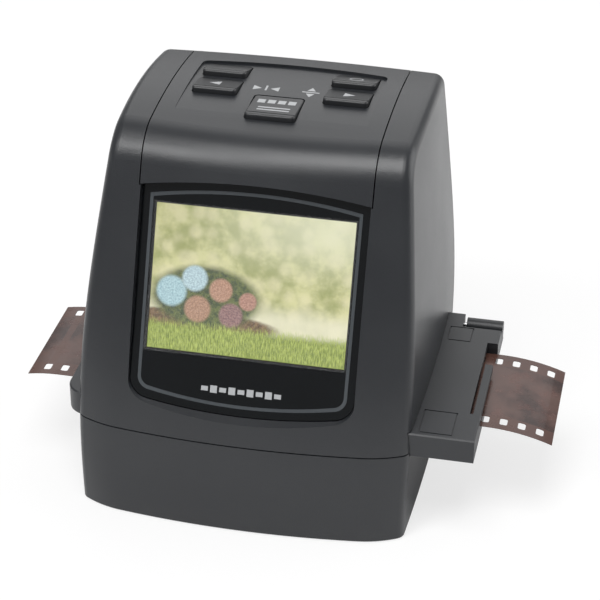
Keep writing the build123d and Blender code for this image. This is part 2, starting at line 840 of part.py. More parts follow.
with BuildPart() as tray_guide:
    with BuildSketch(Plane.XY.offset(guide_bottom)):
        Rectangle(2 * guide_half, 2 * guide_side)
    extrude(amount=guide_top - guide_bottom)
    with BuildSketch(Plane.XY.offset(tray_bottom - tray_gap)):
        Rectangle(casing_width + 10, 2 * (tray_half + tray_gap))
    extrude(amount=tray_top - tray_bottom + 2 * tray_gap, mode=Mode.SUBTRACT)
    with BuildSketch(Plane.XY.offset(guide_bottom)):
        with Locations((0, film_y)):
            Rectangle(gate_length + 2 * guide_window_margin, gate_width + 2 * guide_window_margin)
    extrude(amount=guide_top - guide_bottom, mode=Mode.SUBTRACT)
    # countersunk screws hold the guide to the base
    with BuildSketch(Plane.XY.offset(guide_bottom)):
        with Locations(*guide_places):
            Circle(small_screw_radius + face_gap)
    extrude(amount=guide_floor, mode=Mode.SUBTRACT)
    with BuildSketch(Plane.XY.offset(guide_bottom + guide_floor)):
        with Locations(*guide_places):
            Circle(small_head_radius + face_gap)
    extrude(amount=-small_head_height - face_gap, mode=Mode.SUBTRACT)
    with BuildSketch(Plane.XY.offset(guide_top)):
        with Locations(*tower_screw_places):
            Circle(small_screw_radius)
    extrude(amount=-guide_roof, mode=Mode.SUBTRACT)
    # the window through which the detent spring reaches the tray
    with BuildSketch(rear_plane(guide_side + 1)):
        with Locations((0, detent_z)):
            Rectangle(2 * detent_window_half, detent_slot_height + 1.2)
    extrude(amount=guide_wall + 2, mode=Mode.SUBTRACT)
    # trimmed to the casing's inner walls and to the back of the bezel
    add(ledge_form, mode=Mode.INTERSECT)
    split(bisect_by=screen_plane.offset(panel_plate_z - 2 * face_gap), keep=Keep.BOTTOM)
write(tray_guide.part, "tray_guide")

detent_tip_y = tray_half - detent_slot_depth + detent_clearance
with BuildPart() as detent_spring:
    with BuildSketch(Plane.XY.offset(detent_z - detent_width / 2)):
        with BuildLine():
            outside = guide_side + spring_thickness
            Polyline(
                (-detent_window_half - detent_tab, outside),
                (-detent_window_half - detent_tab, guide_side),
                (-detent_window_half + 1, guide_side),
                (-detent_bump, guide_side),
                (-detent_bump / 3, detent_tip_y),
                (detent_bump / 3, detent_tip_y),
                (detent_bump, guide_side),
                (detent_window_half - 1, guide_side),
                (detent_window_half + detent_tab, guide_side),
                (detent_window_half + detent_tab, outside),
                (detent_bump - spring_thickness / 2, outside),
                (detent_bump / 3 - spring_thickness / 2, detent_tip_y + spring_thickness),
                (-detent_bump / 3 + spring_thickness / 2, detent_tip_y + spring_thickness),
                (-detent_bump + spring_thickness / 2, outside),
                close=True,
            )
        make_face()
    extrude(amount=detent_width)
write(detent_spring.part, "detent_spring")


# ---------------------------------------------------------------- camera above the film
def tower_shape(inset):
    """The tower's outer or inner form, drawn in by inset."""
    with BuildPart() as shape:
        with BuildSketch(Plane.XY.offset(guide_top)):
            with Locations((0, film_y)):
                Rectangle(optic_length - 2 * inset, optic_width - 2 * inset)
        with BuildSketch(Plane.XY.offset(tower_top - inset)):
            with Locations((0, film_y)):
                Rectangle(tower_top_length - 2 * inset, tower_top_width - 2 * inset)
        loft()
    return shape.part


tower_outer = tower_shape(0)
tower_inner = tower_shape(optic_wall)
barrel_radius = lens_radius + inlay_fit + barrel_wall

with BuildPart() as optics_tower:
    add(tower_outer)
    add(tower_inner, mode=Mode.SUBTRACT)
    with BuildSketch(Plane.XY.offset(lens_plate_z)):
        with Locations((0, film_y)):
            Rectangle(optic_length, optic_width)
    extrude(amount=lens_plate_thickness)
    add(tower_outer, mode=Mode.INTERSECT)
    with BuildSketch(Plane.XY.offset(guide_top)):
        with Locations((0, film_y)):
            Rectangle(optic_length + 2 * tower_flange, optic_width)
            Rectangle(optic_length - 2 * optic_wall, optic_width - 2 * optic_wall, mode=Mode.SUBTRACT)
        with Locations(*tower_screw_places):
            Circle(small_screw_radius + face_gap, mode=Mode.SUBTRACT)
    extrude(amount=tower_flange_thickness)
    with BuildSketch(Plane.XY.offset(lens_plate_z)):
        with Locations((0, film_y)):
            Circle(barrel_radius + inlay_fit)
    extrude(amount=lens_plate_thickness, mode=Mode.SUBTRACT)
    with BuildSketch(Plane.XY.offset(tower_top - 2 * optic_wall)):
        with Locations((0, film_y)):
            Rectangle(sensor_length + 2, sensor_width + 2)
    extrude(amount=3 * optic_wall, mode=Mode.SUBTRACT)
write(optics_tower.part, "optics_tower")

with BuildPart() as lens_barrel:
    with BuildSketch(Plane.XY.offset(barrel_bottom)):
        with Locations((0, film_y)):
            Circle(barrel_radius)
    extrude(amount=barrel_top - barrel_bottom)
    with BuildSketch(Plane.XY.offset(lens_plate_z + lens_plate_thickness)):
        with Locations((0, film_y)):
            Circle(barrel_radius + barrel_flange)
    extrude(amount=barrel_flange)
    with BuildSketch(Plane.XY.offset(barrel_bottom)):
        with Locations((0, film_y)):
            Circle(lens_radius + inlay_fit)
    extrude(amount=barrel_top - barrel_bottom, mode=Mode.SUBTRACT)
write(lens_barrel.part, "lens_barrel")

with BuildPart() as lens_elements:
    lens_step = (barrel_top - barrel_bottom - lens_thickness - 2) / 2
    for i in range(3):
        with BuildSketch(Plane.XY.offset(barrel_bottom + 1 + i * lens_step)):
            with Locations((0, film_y)):
                Circle(lens_radius)
        extrude(amount=lens_thickness)
write(lens_elements.part, "lens_elements")

with BuildPart() as sensor_board:
    with BuildSketch(Plane.XY.offset(tower_top)):
        with Locations((0, film_y)):
            Rectangle(sensor_board_length, sensor_board_width)
    extrude(amount=board_thickness)
write(sensor_board.part, "sensor_board")

with BuildPart() as image_sensor:
    with BuildSketch(Plane.XY.offset(tower_top)):
        with Locations((0, film_y)):
            Rectangle(sensor_length, sensor_width)
    extrude(amount=-sensor_height)
write(image_sensor.part, "image_sensor")


# ---------------------------------------------------------------- main board and ports
board_screw_places = [
    (side * (bracket_inner + bracket_screw), y) for side in (-1, 1) for y in (bracket_y_near, bracket_y_far)
]

with BuildPart() as main_board:
    with BuildSketch(Plane.XY.offset(main_board_z)):
        with Locations((0, (main_board_front + main_board_back) / 2)):
            Rectangle(2 * main_board_half, main_board_back - main_board_front)
        with Locations(*board_screw_places):
            Circle(small_screw_radius + face_gap, mode=Mode.SUBTRACT)
    extrude(amount=board_thickness)
write(main_board.part, "main_board")

# each chip: middle in X and Y, length, width, height
chips = [
    (6.0, 4.0, 13.0, 13.0, 1.3),
    (-12.0, 3.0, 11.0, 8.0, 1.0),
    (22.0, 14.0, 8.0, 6.0, 1.6),
    (-22.0, -2.0, 5.0, 4.0, 2.4),
    (18.0, -3.0, 6.0, 3.0, 1.2),
]
with BuildPart() as main_chips:
    for x, y, length, width, height in chips:
        with BuildSketch(Plane.XY.offset(board_top)):
            with Locations((x, y)):
                Rectangle(length, width)
        extrude(amount=height)
write(main_chips.part, "main_chips")

card_back = port_face_y - wall - 0.6
with BuildPart() as card_socket:
    with BuildSketch(Plane.XY.offset(board_top)):
        with Locations((card_x, card_back - card_depth / 2)):
            Rectangle(card_width, card_depth)
    extrude(amount=card_height)
    with BuildSketch(rear_plane(card_back)):
        with Locations((card_x, board_top + card_height / 2)):
            Rectangle(card_slot_width, card_slot_height)
    extrude(amount=card_depth - 4, mode=Mode.SUBTRACT)
write(card_socket.part, "card_socket")

with BuildPart() as usb_port:
    with BuildSketch(rear_plane(port_face_y)):
        with Locations((usb_x, board_top + usb_height / 2)):
            RectangleRounded(usb_width, usb_height, 0.6)
            RectangleRounded(usb_width - 1.0, usb_height - 1.0, 0.4, mode=Mode.SUBTRACT)
    extrude(amount=usb_depth)
    with BuildSketch(rear_plane(port_face_y - usb_depth + 1)):
        with Locations((usb_x, board_top + usb_height / 2)):
            Rectangle(usb_width - 0.5, usb_height - 0.5)
    extrude(amount=1)
    with BuildSketch(rear_plane(port_face_y - 0.8)):
        with Locations((usb_x, board_top + usb_height / 2)):
            Rectangle(usb_width - 3.2, 0.9)
    extrude(amount=usb_depth - 1.2)
write(usb_port.part, "usb_port")

with BuildPart() as video_jack:
    with BuildSketch(rear_plane(port_face_y - wall - 1.2)):
        with Locations((jack_x, board_top + jack_height / 2)):
            Rectangle(jack_body, jack_height)
    extrude(amount=jack_depth)
    with BuildSketch(rear_plane(port_face_y)):
        with Locations((jack_x, board_top + jack_height / 2)):
            Circle(jack_nose - 0.1)
    extrude(amount=wall + 2)
    with BuildSketch(rear_plane(port_face_y)):
        with Locations((jack_x, board_top + jack_height / 2)):
            Circle(jack_bore)
    extrude(amount=jack_depth, mode=Mode.SUBTRACT)
write(video_jack.part, "video_jack")


# ---------------------------------------------------------------- film tray
right_barrel = (tray_right - barrel_length, tray_right)
left_barrel = (tray_left + tray_corner, tray_left + tray_corner + barrel_length)
right_knuckle = (right_barrel[0] - hinge_slit - knuckle_length, right_barrel[0] - hinge_slit)
left_knuckle = (left_barrel[1] + hinge_slit, left_barrel[1] + hinge_slit + knuckle_length)
right_pin = (right_barrel[1] - 1 - pin_length, right_barrel[1] - 1)
left_pin = (left_barrel[0] + 1, left_barrel[0] + 1 + pin_length)
gate_corner = 0.8


def strip(x_range, y_range):
    """A rectangle in the open sketch, from its limits in X and Y."""
    with Locations(((x_range[0] + x_range[1]) / 2, (y_range[0] + y_range[1]) / 2)):
        Rectangle(x_range[1] - x_range[0], y_range[1] - y_range[0])


def hinge_round(x_range, radius, mode=Mode.ADD):
    """A round bar along the hinge axis, in the open part."""
    with Locations(((x_range[0] + x_range[1]) / 2, hinge_y, hinge_z)):
        Cylinder(radius, x_range[1] - x_range[0], rotation=(0, 90, 0), mode=mode)


with BuildPart() as tray_base:
    with BuildSketch(Plane.XY.offset(tray_bottom)) as tray_plan:
        strip((tray_left, tray_right), (-tray_half, tray_half))
        fillet(tray_plan.vertices().group_by(Axis.X)[0], tray_corner)
    extrude(amount=lid_bottom - tray_bottom)
    # rim behind the lid, between the two hinges
    with BuildSketch(Plane.XY.offset(lid_bottom)):
        strip((left_knuckle[1] + hinge_slit, right_knuckle[0] - hinge_slit), (hinge_strip, tray_half))
    extrude(amount=lid_thickness - edge_bevel)
    for barrel in (left_barrel, right_barrel):
        hinge_round(barrel, hinge_radius)
    for knuckle in (left_knuckle, right_knuckle):
        with BuildSketch(Plane.XY.offset(hinge_z - hinge_radius - tray_gap)):
            strip(
                (knuckle[0] - hinge_slit, knuckle[1] + hinge_slit),
                (hinge_y - hinge_radius - tray_gap, tray_half + 1),
            )
        extrude(amount=2 * hinge_radius + 1, mode=Mode.SUBTRACT)
    # slits beside the barrels, right through
    with BuildSketch(Plane.XY.offset(tray_bottom)):
        strip((left_barrel[1], left_knuckle[0]), (hinge_strip, tray_half + 1))
        strip((right_knuckle[1], right_barrel[0]), (hinge_strip, tray_half + 1))
    extrude(amount=tray_top, mode=Mode.SUBTRACT)
    # film channel, relief at the lead-in end, and the gate
    channel = (film_y - film_width / 2 - film_gap, film_y + film_width / 2 + film_gap)
    with BuildSketch(Plane.XY.offset(film_z - film_seat_gap)):
        strip((tray_left - 1, tray_right + 1), channel)
    extrude(amount=5, mode=Mode.SUBTRACT)
    with BuildSketch(Plane.XY.offset(film_z - film_seat_gap - relief_depth)):
        strip((tray_left - 1, relief_edge), channel)
    extrude(amount=5, mode=Mode.SUBTRACT)
    with BuildSketch(Plane.XY.offset(tray_bottom)):
        with Locations((0, film_y)):
            RectangleRounded(gate_length, gate_width, gate_corner)
    extrude(amount=10, mode=Mode.SUBTRACT)
    # detent groove and notch in the rear edge
    with BuildSketch(Plane.XY.offset(detent_z - detent_slot_height / 2)):
        strip((tray_left - 1, tray_right + 1), (tray_half - detent_slot_depth, tray_half + 1))
        strip(
            (-detent_notch_length / 2, detent_notch_length / 2), (tray_half - detent_notch_depth, tray_half)
        )
    extrude(amount=detent_slot_height, mode=Mode.SUBTRACT)
    for pin in (left_pin, right_pin):
        hinge_round(pin, pin_radius + pin_fit, Mode.SUBTRACT)
write(tray_base.part, "tray_base")

with BuildPart() as tray_lid:
    with BuildSketch(Plane.XY.offset(lid_bottom)) as lid_plan:
        strip((tray_left, tray_right), (-tray_half, hinge_strip - tray_gap))
        front_left = lid_plan.vertices().group_by(Axis.X)[0].sort_by(Axis.Y)[0]
        fillet(front_left, tray_corner)
    extrude(amount=lid_thickness)
    chamfer(tray_lid.faces().sort_by(Axis.Z)[-1].edges(), edge_bevel)
    for knuckle in (left_knuckle, right_knuckle):
        with BuildSketch(Plane.XY.offset(lid_bottom)):
            strip(knuckle, (hinge_strip - tray_gap - 2 * edge_bevel, tray_half))
        extrude(amount=lid_thickness)
        hinge_round(knuckle, hinge_radius)
    with BuildSketch(Plane.XY.offset(lid_bottom)):
        with Locations((0, film_y)):
            RectangleRounded(gate_length, gate_width, gate_corner)
    extrude(amount=lid_thickness, mode=Mode.SUBTRACT)
    # notch and slot that leave a springy strap at the film's exit
    with BuildSketch(Plane.XY.offset(lid_bottom)):
        strip((notch_left, tray_right + 1), (notch_front, notch_back))
        strip((notch_left, notch_left + slot_width), (slot_front, notch_front + 1))
    extrude(amount=lid_thickness, mode=Mode.SUBTRACT)
    # engraved outlines of the thumb pad and of the arrow field
    with BuildSketch(Plane.XY.offset(tray_top - groove_depth)):
        with Locations((thumb_pad_x, thumb_pad_y)):
            Rectangle(thumb_pad_length, thumb_pad_width)
            Rectangle(
                thumb_pad_length - 2 * groove_width, thumb_pad_width - 2 * groove_width, mode=Mode.SUBTRACT
            )
    extrude(amount=groove_depth, mode=Mode.SUBTRACT)
    with BuildSketch(Plane.XY.offset(tray_top - groove_depth)):
        with Locations((mark_x, mark_y)):
            Rectangle(mark_length, mark_width)
            Rectangle(mark_length - 2 * groove_width, mark_width - 2 * groove_width, mode=Mode.SUBTRACT)
    extrude(amount=groove_depth, mode=Mode.SUBTRACT)
    for pin in (left_pin, right_pin):
        hinge_round(pin, pin_radius + pin_fit, Mode.SUBTRACT)
write(tray_lid.part, "tray_lid")

with BuildPart() as tray_hinge_pins:
    for pin in (left_pin, right_pin):
        hinge_round(pin, pin_radius)
write(tray_hinge_pins.part, "tray_hinge_pins")

film_middle = film_z + film_thickness / 2
curl_right = degrees((film_right - film_bend_right) / film_curl_right)
curl_left = degrees((film_bend_left - film_left) / film_curl_left)
first_hole = ceil((film_left - hole_phase) / hole_pitch)
last_hole = floor((film_right - hole_phase) / hole_pitch)
hole_row = film_width / 2 - hole_edge - hole_width / 2

with BuildPart() as film_strip:
    with BuildSketch(rear_plane(film_y + film_width / 2)):
        with BuildLine():
            Line((film_bend_left, film_middle), (film_bend_right, film_middle))
            JernArc((film_bend_right, film_middle), (1, 0), film_curl_right, -curl_right)
            JernArc((film_bend_left, film_middle), (-1, 0), film_curl_left, curl_left)
        trace(line_width=film_thickness)
    extrude(amount=film_width)
    with BuildSketch(Plane.XY.offset(film_z - 10)):
        for i in range(first_hole, last_hole + 1):
            for side in (-1, 1):
                with Locations((hole_phase + i * hole_pitch, film_y + side * hole_row)):
                    RectangleRounded(hole_length, hole_width, hole_corner)
    extrude(amount=20, mode=Mode.SUBTRACT)
write(film_strip.part, "film_strip")


# ---------------------------------------------------------------- ribbon cables
def side_point(plane, along, out):
    """The Y and Z of a point in a tilted plane, seen from the side."""
    point = plane.origin + plane.y_dir * along + plane.z_dir * out
    return (point.Y, point.Z)


def ribbon_solid(points, x, width):
    """A flat cable whose edge follows the points in Y and Z."""
    with BuildPart() as cable:
        with BuildSketch(Plane.YZ.offset(x - width / 2)):
            with BuildLine():
                FilletPolyline(*points, radius=ribbon_bend)
            trace(line_width=ribbon_thickness)
        extrude(amount=width)
    return cable.part


ribbon_rise = ribbon_thickness / 2 + inlay_fit
frame_back = frame_front_z - frame_thickness - ribbon_rise
lcd_ribbon = ribbon_solid(
    [
        side_point(screen_plane, -4, frame_back),
        side_point(screen_plane, 7.5, frame_back),
        (main_board_front - 1, board_top + 2.6),
        (main_board_front + 1, board_top + ribbon_rise),
        (main_board_front + 4.5, board_top + ribbon_rise),
    ],
    ribbon_x,
    lcd_ribbon_width,
)
write(lcd_ribbon, "lcd_ribbon")

sensor_top = tower_top + board_thickness + ribbon_rise
sensor_ribbon = ribbon_solid(
    [
        (film_y + 5, sensor_top),
        (film_y + sensor_board_width / 2 + 3, sensor_top),
        (film_y + sensor_board_width / 2 + 6, main_board_z - ribbon_rise),
        (film_y + sensor_board_width / 2 + 14, main_board_z - ribbon_rise),
    ],
    0,
    sensor_ribbon_width,
)
write(sensor_ribbon, "sensor_ribbon")

key_under = key_board_top - key_board_thickness - ribbon_rise
key_ribbon = ribbon_solid(
    [
        (bracket_y_far - 8, key_under),
        (bracket_y_far, key_under),
        (bracket_y_far - 5, key_ribbon_middle),
        (bracket_y_far - 8, board_top + 5),
        (bracket_y_far - 12, board_top + ribbon_rise),
        (bracket_y_far - 17, board_top + ribbon_rise),
    ],
    key_ribbon_x,
    key_ribbon_width,
)
write(key_ribbon, "key_ribbon")


# ---------------------------------------------------------------- feet and screws
with BuildPart() as rubber_feet:
    with BuildSketch(Plane.XY):
        with Locations(*foot_places):
            Circle(foot_radius)
    extrude(amount=foot_proud + foot_seat)
write(rubber_feet.part, "rubber_feet")

head_top = foot_proud + wall + screw_head_height
with BuildPart() as casing_screws:
    with BuildSketch(Plane.XY.offset(head_top - screw_head_height)):
        with Locations(*boss_places):
            Circle(screw_head_radius)
    extrude(amount=screw_head_height)
    with BuildSketch(Plane.XY.offset(head_top)):
        with Locations(*boss_places):
            Circle(screw_radius - inlay_fit)
    extrude(amount=seam_height + boss_height - 4 - head_top)
write(casing_screws.part, "casing_screws")


def small_screws(plane, places, length, name):
    """Screws whose heads stand on a plane and whose shanks go in against its normal."""
    with BuildPart() as screws:
        with BuildSketch(plane):
            with Locations(*places):
                Circle(small_head_radius)
        extrude(amount=small_head_height)
        with BuildSketch(plane):
            with Locations(*places):
                Circle(small_screw_radius - inlay_fit)
        extrude(amount=-length)
    write(screws.part, name)


small_screws(
    Plane.XY.offset(guide_bottom + guide_floor - small_head_height - face_gap), guide_places, 8, "guide_screws"
)
small_screws(Plane.XY.offset(led_board_top), led_places, board_thickness + 3, "led_board_screws")
small_screws(
    Plane.XY.offset(guide_top + tower_flange_thickness),
    tower_screw_places,
    tower_flange_thickness + guide_roof - 0.2,
    "tower_screws",
)
small_screws(Plane.XY.offset(board_top), board_screw_places, board_thickness + 3.5, "main_board_screws")
key_board_under = Plane(
    origin=(0, 0, key_board_top - key_board_thickness), x_dir=(1, 0, 0), z_dir=(0, 0, -1)
)
small_screws(
    key_board_under,
    [(x, -y) for x, y in key_posts],
    key_board_thickness + post_screw_depth - 0.2,
    "key_board_screws",
)
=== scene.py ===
from math import atan, cos, radians, sin, sqrt

import bpy
from mathutils import Matrix, Vector


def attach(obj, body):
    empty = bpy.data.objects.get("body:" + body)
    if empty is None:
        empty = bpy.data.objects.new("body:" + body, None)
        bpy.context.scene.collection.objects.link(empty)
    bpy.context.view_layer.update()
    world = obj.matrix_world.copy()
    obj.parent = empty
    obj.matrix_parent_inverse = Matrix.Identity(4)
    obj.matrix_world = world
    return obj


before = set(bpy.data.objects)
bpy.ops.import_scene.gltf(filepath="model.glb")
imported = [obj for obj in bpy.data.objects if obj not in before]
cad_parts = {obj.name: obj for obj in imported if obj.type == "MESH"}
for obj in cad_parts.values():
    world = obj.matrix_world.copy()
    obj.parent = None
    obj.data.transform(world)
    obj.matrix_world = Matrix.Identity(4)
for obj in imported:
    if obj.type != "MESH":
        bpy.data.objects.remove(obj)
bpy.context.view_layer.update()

# The film scanner: its casing, screen, keys, tray and film are CAD nodes that get their finishes here.
# New pieces are the thin printed marks on the keys, between them and on the screen's panel.
MM = 0.001

# The screen's face: its middle, its tilt from upright, and the turn about X that lays a flat mark on it.
SCREEN_TILT = 22.5
SCREEN_POINT = Vector((0, -20.9 * MM, 63.9 * MM))
SCREEN_TURN = radians(90 - SCREEN_TILT)

# The film: its middle line, and its picture frames
FILM_MIDDLE_Y = -0.8 * MM
FRAME_PITCH = 38.0 * MM
FRAME_SIDE_OUTER, FRAME_SIDE_INNER = 12.1 * MM, 11.9 * MM  # the soft edge of a frame, across the film
FRAME_END_OUTER, FRAME_END_INNER = 0.477, 0.472  # the soft end of a frame, as a share of the pitch


# ---------------------------------------------------------------- node helpers
def add_node(tree, kind, **settings):
    """A shader node with its settings; a setting whose name is a socket sets that socket."""
    node = tree.nodes.new(kind)
    for key, value in settings.items():
        if hasattr(node, key):
            setattr(node, key, value)
        else:
            node.inputs[key].default_value = value
    return node


def join(tree, source, target):
    tree.links.new(source, target)


def math_node(tree, operation, first, second=None):
    """A Math node on numbers or sockets; gives its output socket."""
    node = tree.nodes.new("ShaderNodeMath")
    node.operation = operation
    for index, value in enumerate((first, second)):
        if value is None:
            continue
        if isinstance(value, (int, float)):
            node.inputs[index].default_value = value
        else:
            tree.links.new(value, node.inputs[index])
    return node.outputs[0]


def fade(tree, value, low, high):
    """0 where value is at low, 1 at high, smooth between."""
    node = tree.nodes.new("ShaderNodeMapRange")
    node.interpolation_type = "SMOOTHSTEP"
    node.inputs["From Min"].default_value = low
    node.inputs["From Max"].default_value = high
    tree.links.new(value, node.inputs["Value"])
    return node.outputs["Result"]


def noise(tree, vector, scale, detail=2.0, roughness=0.5):
    node = tree.nodes.new("ShaderNodeTexNoise")
    node.inputs["Scale"].default_value = scale
    node.inputs["Detail"].default_value = detail
    node.inputs["Roughness"].default_value = roughness
    tree.links.new(vector, node.inputs["Vector"])
    return node.outputs["Fac"]


def mix_colour(tree, factor, first, second):
    """Mixes two colours, each a socket or written out."""
    node = tree.nodes.new("ShaderNodeMix")
    node.data_type = "RGBA"
    for index, value in ((0, factor), (6, first), (7, second)):
        if hasattr(value, "is_linked"):
            tree.links.new(value, node.inputs[index])
        elif isinstance(value, (int, float)):
            node.inputs[index].default_value = value
        else:
            node.inputs[index].default_value = (*value, 1)
    return node.outputs[2]


# ---------------------------------------------------------------- shared effects
def build_grain_group():
    """Moulded plastic: fine grain in the surface, faint clouds of tint and sheen."""
    group = bpy.data.node_groups.new("moulded grain", "ShaderNodeTree")
    face = group.interface
    for name, kind, value in (
        ("Colour", "NodeSocketColor", (0.05, 0.05, 0.05, 1)),
        ("Cloud Colour", "NodeSocketColor", (0.06, 0.06, 0.06, 1)),
        ("Grain per Metre", "NodeSocketFloat", 3000.0),
        ("Grain Depth", "NodeSocketFloat", 0.00003),
        ("Roughness", "NodeSocketFloat", 0.45),
        ("Spread", "NodeSocketFloat", 0.1),
    ):
        socket = face.new_socket(name, in_out="INPUT", socket_type=kind)
        socket.default_value = value
    face.new_socket("Colour", in_out="OUTPUT", socket_type="NodeSocketColor")
    face.new_socket("Roughness", in_out="OUTPUT", socket_type="NodeSocketFloat")
    face.new_socket("Normal", in_out="OUTPUT", socket_type="NodeSocketVector")
    given = group.nodes.new("NodeGroupInput")
    made = group.nodes.new("NodeGroupOutput")
    place = group.nodes.new("ShaderNodeTexCoord").outputs["Object"]
    grain = add_node(group, "ShaderNodeTexNoise", Detail=3.0, Roughness=0.6)
    join(group, place, grain.inputs["Vector"])
    join(group, given.outputs["Grain per Metre"], grain.inputs["Scale"])
    clouds = noise(group, place, 55.0, 3.0)
    grain_light = fade(group, grain.outputs["Fac"], 0.35, 0.7)
    cloud_light = fade(group, clouds, 0.3, 0.75)
    shade = math_node(group, "ADD", math_node(group, "MULTIPLY", grain_light, 0.45),
                      math_node(group, "MULTIPLY", cloud_light, 0.55))
    tint = mix_colour(group, shade, given.outputs["Colour"], given.outputs["Cloud Colour"])
    join(group, tint, made.inputs["Colour"])
    away = math_node(group, "SUBTRACT", clouds, 0.5)
    rough = math_node(group, "ADD", given.outputs["Roughness"],
                      math_node(group, "MULTIPLY", away, given.outputs["Spread"]))
    join(group, rough, made.inputs["Roughness"])
    bump = add_node(group, "ShaderNodeBump", Strength=1.0)
    join(group, given.outputs["Grain Depth"], bump.inputs["Distance"])
    join(group, grain.outputs["Fac"], bump.inputs["Height"])
    join(group, bump.outputs["Normal"], made.inputs["Normal"])
    return group


GRAIN = build_grain_group()


def new_material(name):
    material = bpy.data.materials.new(name)
    material.use_nodes = True
    return material, material.node_tree, material.node_tree.nodes["Principled BSDF"]


def moulded(
    name, colour, cloud, roughness, per_metre=3000.0, depth=0.00003, spread=0.1, specular=0.5
):
    """A moulded plastic or rubber with the shared grain."""
    material, tree, shader = new_material(name)
    grain = tree.nodes.new("ShaderNodeGroup")
    grain.node_tree = GRAIN
    for socket, value in (
        ("Colour", (*colour, 1)),
        ("Cloud Colour", (*cloud, 1)),
        ("Grain per Metre", per_metre),
        ("Grain Depth", depth),
        ("Roughness", roughness),
        ("Spread", spread),
    ):
        grain.inputs[socket].default_value = value
    join(tree, grain.outputs["Colour"], shader.inputs["Base Color"])
    join(tree, grain.outputs["Roughness"], shader.inputs["Roughness"])
    join(tree, grain.outputs["Normal"], shader.inputs["Normal"])
    shader.inputs["Specular IOR Level"].default_value = specular
    return material


def bright_metal(name, colour, roughness):
    """Plated or brushed metal with fine lines along X."""
    material, tree, shader = new_material(name)
    place = tree.nodes.new("ShaderNodeTexCoord").outputs["Object"]
    stretch = add_node(tree, "ShaderNodeMapping", Scale=(60, 2500, 2500))
    join(tree, place, stretch.inputs["Vector"])
    lines = noise(tree, stretch.outputs["Vector"], 1.0, 3.0)
    tint = mix_colour(tree, fade(tree, lines, 0.3, 0.7), [0.86 * c for c in colour], colour)
    join(tree, tint, shader.inputs["Base Color"])
    rough = math_node(tree, "ADD", math_node(tree, "MULTIPLY", lines, 0.15), roughness)
    join(tree, rough, shader.inputs["Roughness"])
    shader.inputs["Metallic"].default_value = 1.0
    return material


# ---------------------------------------------------------------- the display's picture
def spot(tree, at, centre, radii, soft=0.12):
    """1 inside an ellipse of the picture, 0 outside, with a soft edge."""
    near = add_node(tree, "ShaderNodeMapping", vector_type="TEXTURE")
    near.inputs["Location"].default_value = (*centre, 0)
    near.inputs["Scale"].default_value = (*radii, 1000)
    join(tree, at, near.inputs["Vector"])
    away = add_node(tree, "ShaderNodeVectorMath", operation="LENGTH")
    join(tree, near.outputs["Vector"], away.inputs[0])
    return fade(tree, away.outputs["Value"], 1 + soft, 1 - soft)


